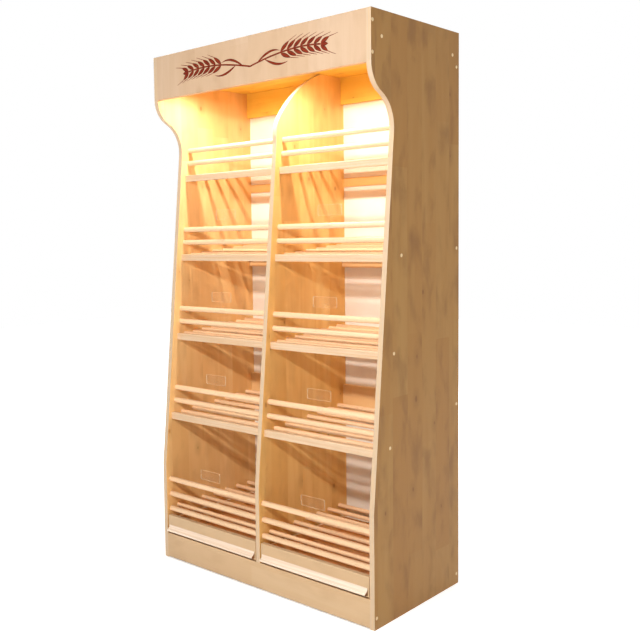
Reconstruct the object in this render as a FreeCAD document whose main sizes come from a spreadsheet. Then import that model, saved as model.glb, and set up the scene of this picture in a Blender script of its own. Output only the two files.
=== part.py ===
"""Bakery bread rack: two bays of slanting dowel shelves over a pair of crumb drawers, under a lit canopy.

Frame, in millimetres: X runs along the front, Y from the front to the back, Z up from the floor.
The origin is on the floor, under the middle of the overall box. Inside the carcass, depths are
counted from the front plane, in which the header, the plinth and the feet of the panels lie.
Shelf levels are numbered upwards from 1; "base" is the flat grate over the drawers.
"""
import FreeCAD, Part
import math
import os

import Sketcher

V = FreeCAD.Vector

# Driving dimensions: every cell of the sheet "Sizes" is one of these.
SIZES = {
    # carcass
    "width": 1000, "height": 1950, "depth": 525, "board": 18,
    "header_height": 162, "ceiling_drop": 70, "ceiling_board": 18,
    "plinth_clear": 4, "plinth_height": 94,
    # front edge of the side panels: upright foot, slant, hollow sweep, round nose of the canopy
    "slant_start": 376, "waist": 122.5, "sweep_radius": 115, "sweep_rise": 192, "brow_height": 160,
    # top of the divider: a tight shoulder that runs into a flat crown under the ceiling
    "shoulder_rise": 19, "shoulder_radius": 125, "crown_radius": 520, "crown_start": 378,
    # back sheets, their rebate in the side panels and the strip over their joint
    "sheet": 3, "sheet_inset": 5, "rebate_width": 9, "sheet_play": 1, "sheet_clear": 4,
    "strip_height": 1464.5, "strip_width": 33, "strip_face": 3, "strip_web": 3, "web_play": 0.5,
    # rails across the back of each bay
    "rail_height": 100, "middle_rail_top": 1236, "low_rail_top": 676, "foot_rail_low": 12,
    "foot_rail_height": 50,
    # front lips of the slanting shelves
    "first_level": 550.5, "top_level_drop": 114.5, "lip_height": 25, "lip_round": 3,
    "lip_setback": 24, "low_lip_setback": 15,
    # guard dowels above each lip, and the three in front of the base grate
    "guard_diameter": 20, "guard_rise": 72, "guard_pitch": 50, "guard_setback": 39,
    "low_guard_setback": 33.5, "base_guard_setback": 23, "base_guard_rise": 192.5, "base_guard_pitch": 59.5,
    # sockets of the guard dowels in the side panels, and their play there and in the divider
    "socket_depth": 9, "socket_play": 0.1, "end_play": 0.5,
    # dowels of the shelf grates, rising to the back, and of the flat base grate
    "rod_diameter": 16, "rod_rise": 21.5, "rod_climb": 26, "rear_rod_setback": 51,
    "rod_setback_1": 72, "rod_setback_2": 65, "rod_setback_3": 79, "rod_setback_4": 72.5,
    "base_rod_rise": 199, "base_rod_setback": 59.5,
    # drawers and the battens they run on
    "drawer_gap": 4, "drawer_set": 2, "drawer_rise": 5, "drawer_front": 18, "drawer_height": 67.5,
    "box_gap": 7, "box_back_gap": 22, "box_wall": 12, "box_height": 50, "box_floor": 3,
    "runner_width": 15, "runner_height": 20, "runner_play": 0.3,
    # full-width grip moulding of a drawer: a cove that runs out into a rounded nose
    "grip_height": 24, "grip_reach": 15, "grip_nose": 5, "grip_land": 1, "grip_rise": 5.5, "grip_inset": 6,
    # clear price holders hooked over the uppermost guard dowels
    "hook_wall": 1.5, "hook_width": 30, "hook_play": 0.1, "hook_drop": 6, "pocket_length": 100,
    "pocket_height": 36, "pocket_rise": 35, "pocket_thick": 3, "pocket_slot": 1, "pocket_floor": 2,
    "pocket_corner": 4, "pocket_end": 6,
    # lamp under the ceiling, behind the header
    "lamp_length": 900, "lamp_width": 60, "lamp_height": 20, "lamp_setback": 120, "lamp_edge": 3,
    "lens_depth": 14,
}

# Values that follow from the sizes; the sheet "Places" works them out.
PLACES = {
    "front": "=-(Sizes.depth - Sizes.grip_reach + Sizes.drawer_set) / 2",
    "bay_in": "=Sizes.board / 2",
    "bay_out": "=Sizes.width / 2 - Sizes.board",
    "bay_width": "=Sizes.width / 2 - 1.5 * Sizes.board",
    "carcass_depth": "=Sizes.depth - Sizes.sheet_inset",
    "ceiling": "=Sizes.height - Sizes.ceiling_drop - Sizes.ceiling_board",
    "nose_height": "=Sizes.height - Sizes.brow_height",
    "waist_height": "=nose_height - Sizes.sweep_rise",
    "shoulder_height": "=waist_height + Sizes.shoulder_rise",
    "level_pitch": "=(waist_height - Sizes.top_level_drop - Sizes.first_level) / 3",
    "sweep_front": "=Sizes.waist - Sizes.sweep_radius",
    "slant_rise": "=waist_height - Sizes.slant_start",
    "slant_angle": "=atan(sweep_front / slant_rise)"
                   " + asin(Sizes.sweep_radius / sqrt(sweep_front ^ 2 + slant_rise ^ 2))",
    "slope": "=tan(slant_angle)",
    "plinth_top": "=Sizes.plinth_clear + Sizes.plinth_height",
    "drawer_low": "=plinth_top + Sizes.drawer_rise",
    "box_front": "=Sizes.drawer_set + Sizes.drawer_front",
    "box_length": "=carcass_depth - Sizes.board - box_front - Sizes.box_back_gap",
}

BAYS = ("left", "right")
LEVELS = (1, 2, 3, 4)
SHELVES = ("base",) + LEVELS
ROD_COUNT = dict(zip(SHELVES, (7, 7, 8, 6, 6)))
GUARD_COUNT = dict(zip(SHELVES, (3, 2, 2, 2, 2)))
# Each thin rod is drawn with this many flats, which leaves it within 0.12 mm of round.
FLAT_COUNT = 18

doc = FreeCAD.newDocument("BreadRack")
nodes = []


# ---------------------------------------------------------------- sheets and small helpers

def make_sheet(name, cells):
    """Fill a spreadsheet, one aliased cell for each entry."""
    sheet = doc.addObject("Spreadsheet::Sheet", name)
    for row, (alias, content) in enumerate(cells.items(), start=1):
        sheet.set(f"A{row}", alias)
        sheet.set(f"B{row}", str(content))
        sheet.setAlias(f"B{row}", alias)
    doc.recompute()
    return sheet


def size(alias):
    """Return the number in one cell of the sheet of sizes."""
    return float(doc.Sizes.get(alias))


def spot(alias):
    """Return the number in one cell of the sheet of places."""
    return float(doc.Places.get(alias))


def bind(item, **formulas):
    """Tie properties of an object to formulas."""
    for prop, formula in formulas.items():
        item.setExpression(prop, formula)
    return item


def place(item, across, depth, height):
    """Put an object at a place counted from the middle, the front plane and the floor."""
    item.setExpression("Placement.Base.x", across)
    item.setExpression("Placement.Base.y", f"Places.front + {depth}")
    item.setExpression("Placement.Base.z", height)
    return item


def node(item, label):
    """Label an object as a finished sub-part."""
    item.Label = label
    nodes.append(item)
    return item


def block(across, depth, height):
    """Make a box from three pairs: its first corner and its size along X, Y and Z."""
    item = doc.addObject("Part::Box", "Block")
    bind(item, Length=across[1], Width=depth[1], Height=height[1])
    return place(item, across[0], depth[0], height[0])


def group(items, label):
    """Gather the separate solids of one sub-part."""
    item = doc.addObject("Part::Compound", "Group")
    item.Links = items
    return node(item, label)


def bay_start(bay):
    """Formula for the left-hand end of a bay."""
    return "-Places.bay_out" if bay == "left" else "Places.bay_in"


def level_height(level):
    """Formula for the underside of a level's lip."""
    return f"(Sizes.first_level + {level - 1} * Places.level_pitch)"


def slant(height):
    """Formula for the depth of the slanting front edge at a height."""
    return f"Places.slope * ({height} - Sizes.slant_start)"


def new_body(label):
    """Start a PartDesign body."""
    body = doc.addObject("PartDesign::Body", "Body")
    body.Label = label
    return body


def new_sketch(body, role):
    """Start a sketch on one of the body's own origin planes."""
    sketch = body.newObject("Sketcher::SketchObject", "Sketch")
    planes = [item for item in body.Origin.OriginFeatures if item.Role == role]
    sketch.AttachmentSupport = (planes[0], "")
    sketch.MapMode = "FlatFace"
    return sketch


def line(sketch, start, end):
    """Add a straight edge."""
    return sketch.addGeometry(Part.LineSegment(V(*start, 0), V(*end, 0)), False)


def arc(sketch, centre, radius, start, end):
    """Add an arc that runs anticlockwise between two of its points."""
    angles = [math.atan2(p[1] - centre[1], p[0] - centre[0]) for p in (start, end)]
    if angles[1] < angles[0]:
        angles[1] += 2 * math.pi
    circle = Part.Circle(V(*centre, 0), V(0, 0, 1), radius)
    return sketch.addGeometry(Part.ArcOfCircle(circle, *angles), False)


def rule(sketch, *terms):
    """Add a constraint that holds no dimension."""
    sketch.addConstraint(Sketcher.Constraint(*terms))


def dimension(sketch, formula, *terms):
    """Add a dimension and tie it to a formula."""
    index = sketch.addConstraint(Sketcher.Constraint(*terms))
    sketch.setExpression(f"Constraints[{index}]", formula)


def chain(sketch, edges):
    """Join the end of each plain edge to the start of the next one, round the loop."""
    for first, second in zip(edges, edges[1:] + edges[:1]):
        rule(sketch, "Coincident", first, 2, second, 1)


def polygon(sketch, corners):
    """Draw a closed outline through corners that are pairs of formulas."""
    count = len(corners)
    ring = [(math.cos(2 * math.pi * i / count), math.sin(2 * math.pi * i / count)) for i in range(count)]
    edges = [line(sketch, ring[i], ring[(i + 1) % count]) for i in range(count)]
    chain(sketch, edges)
    for edge, (across, up) in zip(edges, corners):
        dimension(sketch, across, "DistanceX", -1, 1, edge, 1, 1)
        dimension(sketch, up, "DistanceY", -1, 1, edge, 1, 1)


def rectangle(sketch, left, low, across, up):
    """Draw a rectangle; its four formulas are its near corner and its size."""
    right, top = f"{left} + {across}", f"{low} + {up}"
    polygon(sketch, [(left, low), (right, low), (right, top), (left, top)])


def pad(body, sketch, length, midplane=False):
    """Extrude a sketch along its normal."""
    feature = body.newObject("PartDesign::Pad", "Pad")
    feature.Profile = sketch
    feature.Midplane = midplane
    return bind(feature, Length=length)


def cut(body, sketch, length, reverse=False, midplane=False):
    """Take an extruded sketch away, and make sure that it did cut."""
    doc.recompute()
    before = body.Shape.Volume
    feature = body.newObject("PartDesign::Pocket", "Pocket")
    feature.Profile = sketch
    feature.Reversed = reverse
    feature.Midplane = midplane
    bind(feature, Length=length)
    doc.recompute()
    if not body.Shape.Volume < before:
        raise RuntimeError(f"{body.Label}: the pocket cuts nothing")
    return feature


# ---------------------------------------------------------------- carcass

def sweep_points():
    """Work out where the side panel's slant, hollow sweep and canopy nose meet."""
    centre = (spot("sweep_front"), spot("waist_height"))
    radius, rise = size("sweep_radius"), size("sweep_rise")
    nose_radius = (centre[0] ** 2 + rise ** 2 - radius ** 2) / (2 * size("waist"))
    nose = (nose_radius, spot("nose_height"))
    reach = radius + nose_radius
    meet = tuple(c + (n - c) * radius / reach for c, n in zip(centre, nose))
    away = math.hypot(centre[0], centre[1] - size("slant_start"))
    angle = math.atan2(centre[0], centre[1] - size("slant_start")) + math.asin(radius / away)
    length = math.sqrt(away ** 2 - radius ** 2)
    slant_end = (length * math.sin(angle), size("slant_start") + length * math.cos(angle))
    return centre, radius, nose, nose_radius, meet, slant_end


def panel_outline(sketch):
    """Draw the outline of a side panel, with depth across and height up."""
    depth, height, foot = size("depth"), size("height"), size("slant_start")
    centre, radius, nose, nose_radius, meet, slant_end = sweep_points()
    low = line(sketch, (0, 0), (depth, 0))
    rear = line(sketch, (depth, 0), (depth, height))
    top = line(sketch, (depth, height), (0, height))
    brow = line(sketch, (0, height), (0, nose[1]))
    round_nose = arc(sketch, nose, nose_radius, (0, nose[1]), meet)
    sweep = arc(sketch, centre, radius, slant_end, meet)
    slope = line(sketch, slant_end, (0, foot))
    toe = line(sketch, (0, foot), (0, 0))
    for first, second in ((low, rear), (rear, top), (top, brow), (slope, toe), (toe, low)):
        rule(sketch, "Coincident", first, 2, second, 1)
    rule(sketch, "Tangent", brow, 2, round_nose, 1)
    rule(sketch, "Tangent", round_nose, 2, sweep, 2)
    rule(sketch, "Tangent", sweep, 1, slope, 1)
    rule(sketch, "Coincident", low, 1, -1, 1)
    for edge, way in ((low, "Horizontal"), (rear, "Vertical"), (top, "Horizontal"), (brow, "Vertical")):
        rule(sketch, way, edge)
    rule(sketch, "PointOnObject", brow, 2, -2)
    rule(sketch, "PointOnObject", toe, 1, -2)
    dimension(sketch, "Sizes.depth", "DistanceX", low, 1, low, 2, depth)
    dimension(sketch, "Sizes.height", "DistanceY", rear, 1, rear, 2, height)
    dimension(sketch, "Places.nose_height", "DistanceY", -1, 1, brow, 2, nose[1])
    dimension(sketch, "Sizes.slant_start", "DistanceY", -1, 1, toe, 1, foot)
    dimension(sketch, "Sizes.sweep_radius", "Radius", sweep, radius)
    dimension(sketch, "Places.sweep_front", "DistanceX", -1, 1, sweep, 3, centre[0])
    dimension(sketch, "Places.waist_height", "DistanceY", -1, 1, sweep, 3, centre[1])


def drill_guards(body, length, shift="0", midplane=False):
    """Drill the holes of all the guard dowels into an upright."""
    sketch = new_sketch(body, "YZ_Plane")
    sketch.setExpression("AttachmentOffset.Base.z", shift)
    holes = [guard_place(level, index) for level in SHELVES for index in range(GUARD_COUNT[level])]
    for number, (depth, height) in enumerate(holes, start=1):
        radius = size("guard_diameter") / 2
        start = V(4 * radius, 4 * radius * number, 0)
        circle = sketch.addGeometry(Part.Circle(start, V(0, 0, 1), radius), False)
        dimension(sketch, depth, "DistanceX", -1, 1, circle, 3, start.x)
        dimension(sketch, height, "DistanceY", -1, 1, circle, 3, start.y)
        dimension(sketch, "Sizes.guard_diameter / 2 + Sizes.socket_play", "Radius", circle, radius)
    cut(body, sketch, length, reverse=not midplane, midplane=midplane)


def side_panel(side):
    """Side panel with the bakery profile, a rebate for the back sheets and the dowels' sockets."""
    body = new_body(f"side_panel_{side}")
    outline = new_sketch(body, "YZ_Plane")
    panel_outline(outline)
    pad(body, outline, "Sizes.board")
    rebate = new_sketch(body, "XY_Plane")
    inner = "Sizes.board - Sizes.rebate_width" if side == "left" else "0"
    rectangle(rebate, inner, "Places.carcass_depth", "Sizes.rebate_width", "Sizes.sheet_inset")
    cut(body, rebate, "Sizes.height", reverse=True)
    drill_guards(body, "Sizes.socket_depth", "Sizes.board - Sizes.socket_depth" if side == "left" else "0")
    place(body, "-Sizes.width / 2" if side == "left" else "Places.bay_out", "0", "0")
    node(body, body.Label)


def crown_points(start):
    """Work out the centres of the divider's shoulder and crown, and where the two arcs meet."""
    shoulder = (start[0] + size("shoulder_radius"), start[1])
    end = (size("crown_start"), spot("ceiling"))
    inner = size("crown_radius") - size("shoulder_radius")
    outer = size("crown_radius")
    apart = math.dist(shoulder, end)
    along = (inner ** 2 - outer ** 2 + apart ** 2) / (2 * apart)
    aside = math.sqrt(inner ** 2 - along ** 2)
    unit = ((end[0] - shoulder[0]) / apart, (end[1] - shoulder[1]) / apart)
    crown = (shoulder[0] + along * unit[0] + aside * unit[1], shoulder[1] + along * unit[1] - aside * unit[0])
    meet = tuple(c + (s - c) * outer / inner for s, c in zip(shoulder, crown))
    return shoulder, crown, end, meet


def divider_outline(sketch):
    """Draw the outline of the divider, notched round the plinth."""
    back, top = spot("carcass_depth"), spot("ceiling")
    notch_in, notch_up = size("board"), spot("plinth_top")
    start = (size("waist"), spot("shoulder_height"))
    shoulder, crown, end, meet = crown_points(start)
    knee = (size("waist"), spot("waist_height"))
    foot = (0, size("slant_start"))
    low = line(sketch, (notch_in, 0), (back, 0))
    rear = line(sketch, (back, 0), (back, top))
    head = line(sketch, (back, top), end)
    crown_arc = arc(sketch, crown, size("crown_radius"), end, meet)
    shoulder_arc = arc(sketch, shoulder, size("shoulder_radius"), meet, start)
    chest = line(sketch, start, knee)
    slope = line(sketch, knee, foot)
    toe = line(sketch, foot, (0, notch_up))
    notch_top = line(sketch, (0, notch_up), (notch_in, notch_up))
    notch_side = line(sketch, (notch_in, notch_up), (notch_in, 0))
    joined = (low, rear, head, crown_arc)
    for first, second in zip(joined, joined[1:]):
        rule(sketch, "Coincident", first, 2, second, 1)
    rule(sketch, "Tangent", crown_arc, 2, shoulder_arc, 1)
    rule(sketch, "Tangent", shoulder_arc, 2, chest, 1)
    joined = (chest, slope, toe, notch_top, notch_side, low)
    for first, second in zip(joined, joined[1:]):
        rule(sketch, "Coincident", first, 2, second, 1)
    for edge in (low, head, notch_top):
        rule(sketch, "Horizontal", edge)
    for edge in (rear, chest, toe, notch_side):
        rule(sketch, "Vertical", edge)
    rule(sketch, "PointOnObject", low, 1, -1)
    rule(sketch, "PointOnObject", toe, 1, -2)
    dimension(sketch, "Sizes.board", "DistanceX", -1, 1, low, 1, notch_in)
    dimension(sketch, "Places.carcass_depth", "DistanceX", -1, 1, low, 2, back)
    dimension(sketch, "Places.ceiling", "DistanceY", rear, 1, rear, 2, top)
    dimension(sketch, "Sizes.crown_start", "DistanceX", -1, 1, head, 2, end[0])
    dimension(sketch, "Sizes.crown_radius", "Radius", crown_arc, size("crown_radius"))
    dimension(sketch, "Sizes.shoulder_radius", "Radius", shoulder_arc, size("shoulder_radius"))
    dimension(sketch, "Sizes.waist", "DistanceX", -1, 1, chest, 1, start[0])
    dimension(sketch, "Places.shoulder_height", "DistanceY", -1, 1, chest, 1, start[1])
    dimension(sketch, "Sizes.slant_start", "DistanceY", -1, 1, toe, 1, foot[1])
    dimension(sketch, "Sizes.slant_start + Sizes.waist / Places.slope",
              "DistanceY", -1, 1, chest, 2, knee[1])
    dimension(sketch, "Places.plinth_top", "DistanceY", -1, 1, notch_top, 1, notch_up)


def divider():
    """Upright board between the two bays, with holes that the guard dowels pass through."""
    body = new_body("centre_divider")
    outline = new_sketch(body, "YZ_Plane")
    divider_outline(outline)
    pad(body, outline, "Sizes.board", midplane=True)
    drill_guards(body, "Sizes.board", midplane=True)
    place(body, "0", "0", "0")
    node(body, body.Label)


def cross_boards():
    """Header, ceiling and plinth, which run from one side panel to the other."""
    across = ("-Places.bay_out", "2 * Places.bay_out")
    node(block(across, ("0", "Sizes.board"),
               ("Sizes.height - Sizes.header_height", "Sizes.header_height")), "header_board")
    node(block(across, ("Sizes.board", "Places.carcass_depth - Sizes.board"),
               ("Places.ceiling", "Sizes.ceiling_board")), "top_board")
    node(block(across, ("0", "Sizes.board"), ("Sizes.plinth_clear", "Sizes.plinth_height")), "plinth_board")


def back_sheets():
    """Two white back sheets in the rebates, and the strip that covers their joint in each bay."""
    across = ("-Places.bay_out - Sizes.rebate_width + Sizes.sheet_play",
              "2 * (Places.bay_out + Sizes.rebate_width - Sizes.sheet_play)")
    depth = ("Places.carcass_depth", "Sizes.sheet")
    half_gap = "(Sizes.strip_web / 2 + Sizes.web_play)"
    node(block(across, depth, ("Sizes.sheet_clear",
                               f"Sizes.strip_height - {half_gap} - Sizes.sheet_clear")), "back_sheet_lower")
    node(block(across, depth,
               (f"Sizes.strip_height + {half_gap}",
                f"Places.ceiling + Sizes.ceiling_board - Sizes.strip_height - {half_gap}")),
         "back_sheet_upper")
    half_face, half_web = "Sizes.strip_width / 2", "Sizes.strip_web / 2"
    face, web = "Sizes.strip_face", "(Sizes.strip_face + Sizes.sheet)"
    strips = []
    for bay in BAYS:
        body = new_body(f"joint_strip_{bay}")
        tee = new_sketch(body, "YZ_Plane")
        polygon(tee, [("0", f"-{half_face}"), (face, f"-{half_face}"), (face, f"-{half_web}"),
                      (web, f"-{half_web}"), (web, half_web), (face, half_web), (face, half_face),
                      ("0", half_face)])
        pad(body, tee, "Places.bay_width")
        strips.append(place(body, bay_start(bay), f"Places.carcass_depth - {face}", "Sizes.strip_height"))
    group(strips, "joint_strip")


def back_rails():
    """Rails that brace the back of each bay, flush with the divider's rear edge."""
    rails = {
        "top": ("Places.ceiling - Sizes.rail_height", "Sizes.rail_height"),
        "middle": ("Sizes.middle_rail_top - Sizes.rail_height", "Sizes.rail_height"),
        "low": ("Sizes.low_rail_top - Sizes.rail_height", "Sizes.rail_height"),
        "foot": ("Sizes.foot_rail_low", "Sizes.foot_rail_height"),
    }
    for name, height in rails.items():
        for bay in BAYS:
            node(block((bay_start(bay), "Places.bay_width"),
                       ("Places.carcass_depth - Sizes.board", "Sizes.board"), height), f"rail_{name}_{bay}")


# ---------------------------------------------------------------- shelves

def lips():
    """Front lip of each slanting shelf, with its upper front edge rounded."""
    for level in LEVELS:
        setback = "Sizes.low_lip_setback" if level == 1 else "Sizes.lip_setback"
        middle = f"({level_height(level)} + Sizes.lip_height / 2)"
        for bay in BAYS:
            blank = block((bay_start(bay), "Places.bay_width"),
                          (f"{slant(middle)} + {setback}", "Sizes.board"),
                          (level_height(level), "Sizes.lip_height"))
            doc.recompute()
            box = blank.Shape.BoundBox
            rounded = [index for index, edge in enumerate(blank.Shape.Edges, start=1)
                       if edge.BoundBox.ZMin > box.Center.z and edge.BoundBox.YMax < box.Center.y]
            lip = doc.addObject("Part::Fillet", "Lip")
            lip.Base = blank
            lip.Edges = [(index, size("lip_round"), size("lip_round")) for index in rounded]
            node(lip, f"lip_{level}_{bay}")


def guard_place(level, index):
    """Formulas for the depth and height of one guard dowel, counted upwards from 0."""
    if level == "base":
        return "Sizes.base_guard_setback", f"(Sizes.base_guard_rise + {index} * Sizes.base_guard_pitch)"
    height = f"({level_height(level)} + Sizes.guard_rise + {index} * Sizes.guard_pitch)"
    setback = "Sizes.low_guard_setback" if level == 1 else "Sizes.guard_setback"
    return f"({slant(height)} + {setback})", height


def lay_across(item):
    """Turn a piece that stands on end so that it runs along X."""
    item.Placement = FreeCAD.Placement(V(), FreeCAD.Rotation(V(0, 1, 0), 90))
    return item


def guards():
    """Thick dowels that keep the loaves on, from socket to socket through the divider."""
    reach = "(Places.bay_out + Sizes.socket_depth - Sizes.end_play)"
    for level in SHELVES:
        dowels = []
        for index in range(GUARD_COUNT[level]):
            item = lay_across(doc.addObject("Part::Cylinder", "Guard"))
            bind(item, Radius="Sizes.guard_diameter / 2", Height=f"2 * {reach}")
            dowels.append(place(item, f"-{reach}", *guard_place(level, index)))
        group(dowels, f"guard_dowels_{level}")


def rod(bay, depth, height):
    """Thin dowel across a bay, with its ends against the uprights."""
    item = lay_across(doc.addObject("Part::Prism", "Rod"))
    item.Polygon = FLAT_COUNT
    bind(item, Circumradius="Sizes.rod_diameter / 2", Height="Places.bay_width")
    return place(item, bay_start(bay), depth, height)


def grates():
    """Shelf grates: rods spread evenly from the first to the rear one, rising to the back."""
    rear = "(Places.carcass_depth - Sizes.rear_rod_setback)"
    for level in SHELVES:
        if level == "base":
            first, low, climb = "Sizes.base_rod_setback", "Sizes.base_rod_rise", "0"
        else:
            low = f"({level_height(level)} + Sizes.rod_rise)"
            first = f"({slant(low)} + Sizes.rod_setback_{level})"
            climb = "Sizes.rod_climb"
        gaps = ROD_COUNT[level] - 1
        for bay in BAYS:
            rods = [rod(bay, f"{first} + {index} / {gaps} * ({rear} - {first})",
                        f"{low} + {index} / {gaps} * {climb}") for index in range(gaps + 1)]
            group(rods, f"shelf_rods_{level}_{bay}")


# ---------------------------------------------------------------- drawers

def grip_outline(sketch):
    """Draw the grip moulding: flat back, thin land at the top, cove, round nose, flat underside."""
    tall, reach, nose, land = (size(f"grip_{part}") for part in ("height", "reach", "nose", "land"))
    tip = (nose - reach, nose)
    cove_radius = ((tip[0] + land) ** 2 + (tall - nose) ** 2 - nose ** 2) / (2 * (nose - tip[0] - land))
    cove = (-land - cove_radius, tall)
    share = nose / (nose + cove_radius)
    meet = tuple(t + (c - t) * share for t, c in zip(tip, cove))
    under = line(sketch, (tip[0], 0), (0, 0))
    back = line(sketch, (0, 0), (0, tall))
    top = line(sketch, (0, tall), (-land, tall))
    cove_arc = arc(sketch, cove, cove_radius, meet, (-land, tall))
    nose_arc = arc(sketch, tip, nose, meet, (tip[0], 0))
    for first, second in ((under, back), (back, top)):
        rule(sketch, "Coincident", first, 2, second, 1)
    rule(sketch, "Coincident", top, 2, cove_arc, 2)
    rule(sketch, "Tangent", cove_arc, 1, nose_arc, 1)
    rule(sketch, "Tangent", nose_arc, 2, under, 1)
    rule(sketch, "Coincident", back, 1, -1, 1)
    for edge, way in ((under, "Horizontal"), (back, "Vertical"), (top, "Horizontal")):
        rule(sketch, way, edge)
    rule(sketch, "Horizontal", top, 2, cove_arc, 3)
    dimension(sketch, "Sizes.grip_height", "DistanceY", back, 1, back, 2, tall)
    dimension(sketch, "Sizes.grip_land", "DistanceX", top, 2, top, 1, land)
    dimension(sketch, "Sizes.grip_nose", "Radius", nose_arc, nose)
    dimension(sketch, "Sizes.grip_reach - Sizes.grip_nose", "DistanceX", under, 1, under, 2, -tip[0])


def drawer(bay):
    """Crumb drawer: front board, grip moulding and an open box of sides, back and floor."""
    name = f"drawer_{bay}"
    start, low = bay_start(bay), "Places.drawer_low"
    node(block((f"{start} + Sizes.drawer_gap", "Places.bay_width - 2 * Sizes.drawer_gap"),
               ("Sizes.drawer_set", "Sizes.drawer_front"), (low, "Sizes.drawer_height")), f"{name}_front")

    grip = new_body(f"{name}_grip")
    outline = new_sketch(grip, "YZ_Plane")
    grip_outline(outline)
    pad(grip, outline, "Places.bay_width - 2 * (Sizes.drawer_gap + Sizes.grip_inset)")
    place(grip, f"{start} + Sizes.drawer_gap + Sizes.grip_inset", "Sizes.drawer_set",
          f"{low} + Sizes.grip_rise")
    node(grip, grip.Label)

    floor_low = f"{low} + Sizes.runner_play"
    wall_low = f"{floor_low} + Sizes.box_floor"
    box_width = "(Places.bay_width - 2 * Sizes.box_gap)"
    sides = [block((f"{start} + {offset}", "Sizes.box_wall"), ("Places.box_front", "Places.box_length"),
                   (wall_low, "Sizes.box_height"))
             for offset in ("Sizes.box_gap", f"Sizes.box_gap + {box_width} - Sizes.box_wall")]
    group(sides, f"{name}_sides")
    node(block((f"{start} + Sizes.box_gap + Sizes.box_wall", f"{box_width} - 2 * Sizes.box_wall"),
               ("Places.box_front + Places.box_length - Sizes.box_wall", "Sizes.box_wall"),
               (wall_low, "Sizes.box_height")), f"{name}_back")
    node(block((f"{start} + Sizes.box_gap", box_width), ("Places.box_front", "Places.box_length"),
               (floor_low, "Sizes.box_floor")), f"{name}_floor")


def runners(bay):
    """Pair of battens under the edges of a drawer, from the plinth to the foot rail."""
    start = bay_start(bay)
    length = "Places.carcass_depth - 2 * Sizes.board"
    battens = [block((f"{start} + {offset}", "Sizes.runner_width"), ("Sizes.board", length),
                     ("Places.drawer_low - Sizes.runner_height", "Sizes.runner_height"))
               for offset in ("0", "Places.bay_width - Sizes.runner_width")]
    group(battens, f"runners_{bay}")


# ---------------------------------------------------------------- fittings

def price_holder(bay, level):
    """Clear holder: a strip bent over the dowel, and a pocket on it that is open at the top."""
    body = new_body(f"price_holder_{level}_{bay}")
    inner = "(Sizes.guard_diameter / 2 + Sizes.hook_play)"
    outer = f"({inner} + Sizes.hook_wall)"
    neck_top = "(Sizes.pocket_rise + Sizes.pocket_floor)"
    hook = new_sketch(body, "YZ_Plane")
    polygon(hook, [(f"-{outer}", "-Sizes.hook_drop"), (f"-{inner}", "-Sizes.hook_drop"), (f"-{inner}", inner),
                   (inner, inner), (inner, "-Sizes.hook_drop"), (outer, "-Sizes.hook_drop"), (outer, outer),
                   (f"-{inner}", outer), (f"-{inner}", neck_top), (f"-{outer}", neck_top)])
    pad(body, hook, "Sizes.hook_width", midplane=True)
    pocket = new_sketch(body, "YZ_Plane")
    rectangle(pocket, f"-{inner} - Sizes.pocket_thick", "Sizes.pocket_rise",
              "Sizes.pocket_thick", "Sizes.pocket_height")
    pad(body, pocket, "Sizes.pocket_length", midplane=True)
    slot = new_sketch(body, "YZ_Plane")
    rectangle(slot, f"-{inner} - (Sizes.pocket_thick + Sizes.pocket_slot) / 2", neck_top,
              "Sizes.pocket_slot", "Sizes.pocket_height")
    last = cut(body, slot, "Sizes.pocket_length - 2 * Sizes.pocket_end", midplane=True)
    box = last.Shape.BoundBox
    corners = [f"Edge{index}" for index, edge in enumerate(last.Shape.Edges, start=1)
               if edge.BoundBox.XMin == edge.BoundBox.XMax and edge.BoundBox.ZMin == edge.BoundBox.ZMax
               and edge.BoundBox.XMin in (box.XMin, box.XMax)]
    chamfer = body.newObject("PartDesign::Chamfer", "Chamfer")
    chamfer.Base = (last, corners)
    bind(chamfer, Size="Sizes.pocket_corner")
    depth, height = guard_place(level, GUARD_COUNT[level] - 1)
    return place(body, f"{bay_start(bay)} + Places.bay_width / 2", depth, height)


def price_holders():
    """Price holders in the middle of each bay, on all levels but the top one."""
    for level in SHELVES[:-1]:
        group([price_holder(bay, level) for bay in BAYS], f"price_holders_{level}")


def lamp():
    """Flat batten lamp under the ceiling: a tray, and a domed lens below it."""
    across = ("-Sizes.lamp_length / 2", "Sizes.lamp_length")
    depth = ("Sizes.lamp_setback - Sizes.lamp_width / 2", "Sizes.lamp_width")
    node(block(across, depth, ("Places.ceiling - Sizes.lamp_height", "Sizes.lamp_height")), "lamp_tray")
    lens = new_body("lamp_lens")
    outline = new_sketch(lens, "YZ_Plane")
    half, deep = size("lamp_width") / 2 - size("lamp_edge"), size("lens_depth")
    radius = (half ** 2 + deep ** 2) / (2 * deep)
    chord = line(outline, (half, 0), (-half, 0))
    dome = arc(outline, (0, radius - deep), radius, (-half, 0), (half, 0))
    chain(outline, [chord, dome])
    rule(outline, "Horizontal", chord)
    rule(outline, "PointOnObject", chord, 1, -1)
    rule(outline, "PointOnObject", dome, 3, -2)
    dimension(outline, "Sizes.lamp_width - 2 * Sizes.lamp_edge", "DistanceX", chord, 2, chord, 1, 2 * half)
    dimension(outline, "((Sizes.lamp_width / 2 - Sizes.lamp_edge) ^ 2 + Sizes.lens_depth ^ 2)"
                       " / (2 * Sizes.lens_depth)", "Radius", dome, radius)
    pad(lens, outline, "Sizes.lamp_length - 2 * Sizes.lamp_edge", midplane=True)
    place(lens, "0", "Sizes.lamp_setback", "Places.ceiling - Sizes.lamp_height")
    node(lens, lens.Label)


# ---------------------------------------------------------------- check and export

def check():
    """Stop if any object failed, or if a sub-part has no sound shape."""
    for item in doc.Objects:
        if "Invalid" in item.State or "Error" in item.State:
            raise RuntimeError(f"{item.Name} ({item.Label}) failed: {item.State}")
    for item in nodes:
        if item.Shape.isNull() or not item.Shape.isValid() or not item.Shape.Solids:
            raise RuntimeError(f"{item.Label} has no sound shape")


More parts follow.
